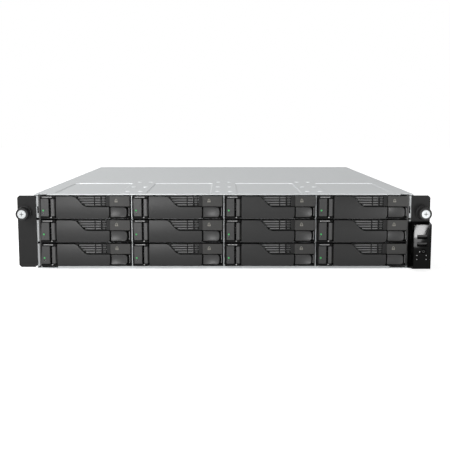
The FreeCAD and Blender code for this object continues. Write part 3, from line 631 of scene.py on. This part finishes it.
def catch_form():
    """Release catch with a thumb scoop and a round free end."""
    form = Form("catch")
    left, right = CATCH_X
    low, high = CATCH_Z
    levels, stations = 13, 17
    back, end_round = 6.8, 3.0
    scoop_depth, scoop_ease, deepest, lean = 1.9, 0.45, 0.25, 0.03
    rings = []
    for level in range(levels):
        t = -1 + 2 * level / (levels - 1)
        z = (low + high) / 2 + t * (high - low) / 2
        end = right - end_round * (1 - math.sqrt(max(0.0, 1 - abs(t) ** 3)))
        depth = scoop_depth - scoop_ease * t * t
        ring = []
        for station in range(stations):
            s = station / (stations - 1)
            hollow = 1 - ((s - deepest) / (1 - deepest)) ** 2
            ring.append((left + (end - left) * s, depth * hollow + lean * (z - low), z))
        ring += [(end, back, z), (left, back, z)]
        rings.append(ring)
    form.rings(rings, CATCH)
    return form


def tray_trim():
    """Small pieces on a tray front: grille, hinge sleeve, catch rim, lamps, top clip and latch dimple. The
    louvres, the catch rim and the top clip are pale as painted highlights, and the dimple is white as a
    painted glint.
    """
    form = Form("trim")
    grille_trim(form)
    sleeve = [(13.0, 1.4), (13.0, 0.5), (13.25, 0.24), (16.5, 0.24)]
    sleeve += arc(HINGE, range(-52, 1, 13), SLEEVE_R, SLEEVE_R)
    form.prism("z", sleeve, *SLEEVE_Z, POST)
    # The catch rim is a light grey strip: a painted highlight on the catch's round end.
    rim_y = (2.6, 5.2)
    rim = [(103.25, 3.4), (103.5, 5.6), (103.5, 10.4), (103.25, 12.8), (104.0, 12.8), (104.0, 3.4)]
    form.prism("y", rim, *rim_y, PALE_HIGHLIGHT_GREY)
    lamp_x, lit_z, dark_z = 4.2, 9.9, 6.9
    lit_lens = [(1.05, 0.3), (1.05, -0.15), (0.75, -0.35), (0.2, -0.4)]
    form.turned("y", lamp_x, lit_z, lit_lens, GREEN_LAMP, count=16)
    dark_lens = [(0.9, 0.3), (0.9, -0.1), (0.6, -0.2), (0.2, -0.22)]
    form.turned("y", lamp_x, dark_z, dark_lens, DARK_LAMP, count=16)
    # The top clip is a pale bar: a painted highlight of the glossy black bracket.
    clip_y, clip_z = 1.6, 25.3
    clip = [(0.45, 2.6), (0.75, 3.4), (0.8, 12.4), (0.95, 14.0), (0.5, 14.4)]
    form.turned("x", clip_y, clip_z, clip, CLIP_PAINTED_HIGHLIGHT, count=16)
    # The latch dimple is white print: a painted glint.
    dimple_x, dimple_y, dimple_z = (12.4, 13.8), (0.7, 1.8), (1.0, 2.4)
    form.prism("y", rounded_box(dimple_x, dimple_z, 0.4), *dimple_y, WHITE_PRINT)
    return form


def grille_trim(form):
    """Uprights, slanted louvres and end blocks of the grille. The louvres stop at the lever's curve."""
    upright_y, upright_z = (2.9, 4.3), (15.2, 25.8)
    first_upright, second_upright = (63.1, 64.2), (70.6, 72.1)
    for x in (first_upright, second_upright):
        form.block(x, upright_y, upright_z, BEZEL)
    lowest_z, pitch = 16.35, 2.8
    end_x, end_y = (72.6, 75.6), (2.75, 4.0)
    for row, left in enumerate((52.4, 48.6, 46.4, 44.8)):
        z = lowest_z + pitch * row
        louvre(form, (left, first_upright[0]), z)
        louvre(form, (first_upright[1], second_upright[0]), z)
        form.block(end_x, end_y, (z - 0.5, z + 0.6), POST)


def louvre(form, x, z):
    """Slanted slat in a slot of the grille, light grey as a painted highlight."""
    slat = [(2.75, z - 0.55), (3.0, z - 0.65), (4.2, z + 0.35), (4.0, z + 0.6)]
    form.prism("x", slat, *x, PALE_HIGHLIGHT_GREY)


def lock_print():
    """Printed padlock with its keyhole, and a small dark mark beside it."""
    form = Form("lock")
    x, z = 89.2, 21.4
    body_half, body_low, body_top = 1.8, z - 1.9, z - 0.3
    print_y, keyhole_y, mark_y = (0.34, 0.45), (0.3, 0.47), (0.3, 0.5)
    body = rounded_box((x - body_half, x + body_half), (body_low, body_top), 0.3)
    form.prism("y", body, *print_y, PALE_PRINT)
    keyhole_z, keyhole_r = z - 1.1, 0.4
    form.prism("y", circle(x, keyhole_z, keyhole_r, 12), *keyhole_y, SLOT_DARK)
    arch = band((x, body_top), range(0, 181, 20), outer=(1.5, 2.5), inner=(0.9, 1.8))
    form.prism("y", arch, *print_y, PALE_PRINT)
    mark_x, mark_z, mark_r = 84.6, 21.0, 0.6
    form.prism("y", circle(mark_x, mark_z, mark_r, 16), *mark_y, SLOT_DARK)
    return form


def dress_trays():
    """Finishes, levers, catches and trim of every bay."""
    lever, catch, trim, lock = lever_form(), catch_form(), tray_trim(), lock_print()
    tray_finishes = [BEZEL, LIGHT_PANEL, LOCK_PANEL, CAGE, DRIVE, GRILLE]
    bays = [(x, z) for z in TRAY_Z for x in TRAY_X]
    for number, (x, z) in enumerate(bays, start=1):
        tag = f"{number:02d}"
        at = (x, TRAY_Y, z)
        dress(f"drive_tray_{tag}", tray_finishes, tray_part(x, z), edge=0.25)
        lever.piece(f"lever_{tag}", f"lever_{tag}", at, edge=0.35, stands_for=[f"tray_lever_{tag}"])
        catch.piece(f"catch_{tag}", f"catch_{tag}", at, edge=0.3, stands_for=[f"release_button_{tag}"])
        trim.piece(f"trim_{tag}", f"tray_{tag}", at, edge=0.12)
        lock.piece(f"lock_{tag}", f"tray_{tag}", at)


# Ears, rack screws and control module

def rack_screw(x, side):
    """Rack screw with a knurled knob, a collar, a stud and a bright head whose cross recess is a dark print
    of painted shade.
    """
    form = Form(f"rack_screw_{side}")
    form.rings(knurled_rings(x), KNOB)
    collar = [(8.3, -2.3), (8.3, -4.2), (7.6, -5.0), (5.2, -5.4)]
    form.turned("y", x, SCREW_Z, collar, KNOB, count=48, base=FRONT_Y)
    head = [(4.9, -17.5), (4.9, -18.1), (4.5, -18.4), (2.9, -18.4)]
    form.turned("y", x, SCREW_Z, head, HEAD, count=40, base=FRONT_Y)
    stud = [(1.9, -2.3), (1.9, 0.4), (2.5, 0.4), (2.5, 8.2), (2.0, 9.0)]
    form.turned("y", x, SCREW_Z, stud, HEAD, count=32, base=FRONT_Y)
    # The cross recess is a dark print on the head: painted shade in the recess.
    cross_y = (FRONT_Y - 18.43, FRONT_Y - 17.9)
    cross = [(0.25, 2.4), (0.45, 0.45), (2.4, 0.25), (2.4, -0.25), (0.45, -0.45), (0.25, -2.4)]
    cross += [(-u, -v) for u, v in cross]
    form.prism("y", [(x + u, SCREW_Z + v) for u, v in cross], *cross_y, DIM_PRINT)
    form.piece(f"rack_screw_{side}", f"screw_{side}", edge=0.08, stands_for=[f"thumbscrew_{side}"])


def knurled_rings(x):
    """Rings of a rack screw's knob, with grooves between its rounded ends."""
    flutes = 36
    groove_depth, groove_y = 0.45, (-17.0, -6.7)
    profile = [(6.6, -17.6), (7.2, -17.1), (7.5, -16.4), (7.5, -7.2), (7.1, -6.6), (4.9, -6.0), (4.9, -5.3)]
    rings = []
    for radius, y in profile:
        groove = groove_depth if within(y, groove_y) else 0.0
        ring = []
        for i in range(flutes * 2):
            spoke = radius - groove * (i % 2)
            turn = math.pi * i / flutes
            ring.append((x + spoke * math.cos(turn), FRONT_Y + y, SCREW_Z + spoke * math.sin(turn)))
        rings.append(ring)
    return rings


def module_part(p):
    """Ports or the gloss round them, by place."""
    port_half, port_tall = 6.65, 3.0
    beside = abs(p.x - PORT_X) < port_half
    level = min(abs(p.z - z) for z in PORT_Z) < port_tall
    return SLOT_DARK if beside and level and p.y > MODULE_Y + 0.1 else GLOSS


def module_lamps():
    """Four lamps of the control module, and a small mark beside the key."""
    form = Form("module_lamps")
    print_y = (MODULE_Y - 0.04, MODULE_Y + 0.1)
    lamp_r, mark_r = 0.55, 0.65
    marks = [(x, z, lamp_r) for z in (18.1, 13.6) for x in (224.2, 235.1)]
    marks.append((227.4, 22.5, mark_r))
    for x, z, radius in marks:
        form.prism("y", circle(x, z, radius, 16), *print_y, WHITE_PRINT)
    form.piece("module_lamps", "chassis")


def power_mark():
    """Power sign on the key: an open ring and a stroke."""
    form = Form("power_mark")
    print_y = (KEY_Y - 0.06, KEY_Y + 0.05)
    ring = band((KEY_X, KEY_Z), range(130, 411, 14), outer=(1.3, 1.3), inner=(1.0, 1.0))
    form.prism("y", ring, *print_y, DIM_PRINT)
    stroke_x, stroke_z = (KEY_X - 0.15, KEY_X + 0.15), (KEY_Z + 0.3, KEY_Z + 1.5)
    form.prism("y", rectangle(stroke_x, stroke_z), *print_y, DIM_PRINT)
    form.piece("power_mark", "power_key")


def dress_front():
    """Ears, screws and control module."""
    for side in ("left", "right"):
        dress(f"rack_ear_{side}", [EAR], edge=0.5)
    rack_screw(-SCREW_X, "left")
    rack_screw(SCREW_X, "right")
    dress("control_panel", [GLOSS, SLOT_DARK], module_part)
    dress("power_button", [GLOSS], edge=0.3)
    module_lamps()
    power_mark()


# Supplies

def supply_part(low):
    """Rule for the pieces of one supply: casing, handle, inlet and fan guard."""
    handle_left = 190.9
    inlet_x, inlet_start, inlet_z = (184.9, 215.1), REAR_Y - 18.2, (low + 2.9, low + 24.1)
    guard_x, guard_y = (145.0, 184.0), (REAR_Y - 5.2, REAR_Y - 0.1)

    def choose(p):
        if p.y > REAR_Y + 0.05 and p.x > handle_left:
            return BLACK_PART
        in_inlet = within(p.x, inlet_x) and within(p.z, inlet_z) and p.y > inlet_start
        in_guard = within(p.x, guard_x) and within(p.y, guard_y)
        return SLOT_DARK if in_inlet or in_guard else SUPPLY
    return choose


def dress_supplies():
    """Finishes of the supplies and their latches."""
    for number, low in enumerate(SUPPLY_Z, start=1):
        dress(f"psu_module_{number}", [SUPPLY, BLACK_PART, SLOT_DARK], supply_part(low), edge=0.3)
        dress(f"psu_latch_{number}", [KNOB], edge=0.3)


# Studio

def area_light(name, at, aim, size, power):
    """Soft panel light, turned towards a point."""
    data = bpy.data.lights.new(name, "AREA")
    data.shape = "RECTANGLE"
    data.size, data.size_y = size
    data.energy = power
    made = linked(name, data)
    made.location = at
    made.rotation_euler = (Vector(aim) - Vector(at)).to_track_quat("-Z", "Y").to_euler()
    return made


def floor_card(name, at, size, power):
    """Small light on the floor that the control module's gloss shows, unseen by the camera."""
    turn = math.radians(17)
    card = area_light(name, (*at, 0.0), (*at, 1.0), size, power)
    card.rotation_euler = (math.pi, 0, turn)
    card.visible_camera = False


def seen_rays(tree):
    """1 for what is seen straight, mirrored or through glass, and 0 for what only gives light."""
    rays = ("Is Camera Ray", "Is Glossy Ray", "Is Transmission Ray")
    straight, mirrored, through = [Value.node(tree, "ShaderNodeLightPath", {}, {}, ray) for ray in rays]
    return straight + mirrored + through > 0.5


def floor_finish():
    """Pale floor that looks white, and a little darker near the server, where its shadow falls."""
    finish = Finish("floor_pale")
    cloud = finish.place.noise(scale=2.0, detail=2.0)
    across, along = finish.place.part("X"), finish.place.part("Y")
    far = (across * across + along * along) * 2.0
    near = (1.0 - far) * (1.0 - far > 0.0)
    white = near.blend(grey(1.0), grey(0.8))
    finish.set(Base_Color=cloud.blend(grey(0.78), grey(0.82)), Roughness=0.9, Specular_IOR_Level=0.0)
    finish.set(Emission_Color=seen_rays(finish.tree).blend(grey(0.0), white), Emission_Strength=1.0)
    return finish.material


def floor():
    """Plain floor just under the server."""
    form = Form("floor")
    form.block((-2500, 2500), (-2500, 3500), (-12, -2), floor_finish())
    made = linked("floor", form.finished())


def surroundings():
    """Surroundings that look white and give a soft grey light."""
    world = bpy.data.worlds.new("studio")
    bpy.context.scene.world = world
    world.use_nodes = True
    tree = world.node_tree
    colour = seen_rays(tree).blend(grey(0.2), grey(1.0))
    feed(tree, tree.nodes["Background"].inputs["Color"], colour)


def studio():
    """Surroundings and floor, three panel lights, and two cards for the control module."""
    surroundings()
    floor()
    front = (-0.1, -0.25, 0.05)
    trays = (-0.14, -0.25, 0.05)
    roof = (-0.1, 0.1, 0.05)
    area_light("left_panel", at=(-0.9, -1.15, 0.75), aim=front, size=(0.8, 0.7), power=7.3)
    area_light("front_panel", at=(-0.25, -1.2, 0.11), aim=trays, size=(0.19, 0.15), power=2.6)
    area_light("top_panel", at=(-1.3, 0.45, 1.05), aim=roof, size=(1.9, 1.9), power=13)
    floor_card("module_card", at=(0.317, -0.63), size=(0.0165, 0.2), power=0.95)
    floor_card("dim_card", at=(0.274, -0.49), size=(0.016, 0.09), power=0.09)


def camera():
    """Camera at the photo's place, with its tilt and turn in degrees."""
    tilt_down, turn = 7.684, -0.1046
    data = bpy.data.cameras.new("photo_camera")
    data.sensor_width = 36.0
    data.lens = 63.64
    made = linked("photo_camera", data)
    made.location = (-0.00038, -1.1848, 0.17684)
    made.rotation_euler = (math.radians(90 - tilt_down), 0, math.radians(turn))
    bpy.context.scene.camera = made


dress_chassis()
cover_rivets()
lid_screws()
dress_trays()
dress_front()
dress_supplies()
studio()
camera()
bpy.context.scene.view_settings.view_transform = "Standard"
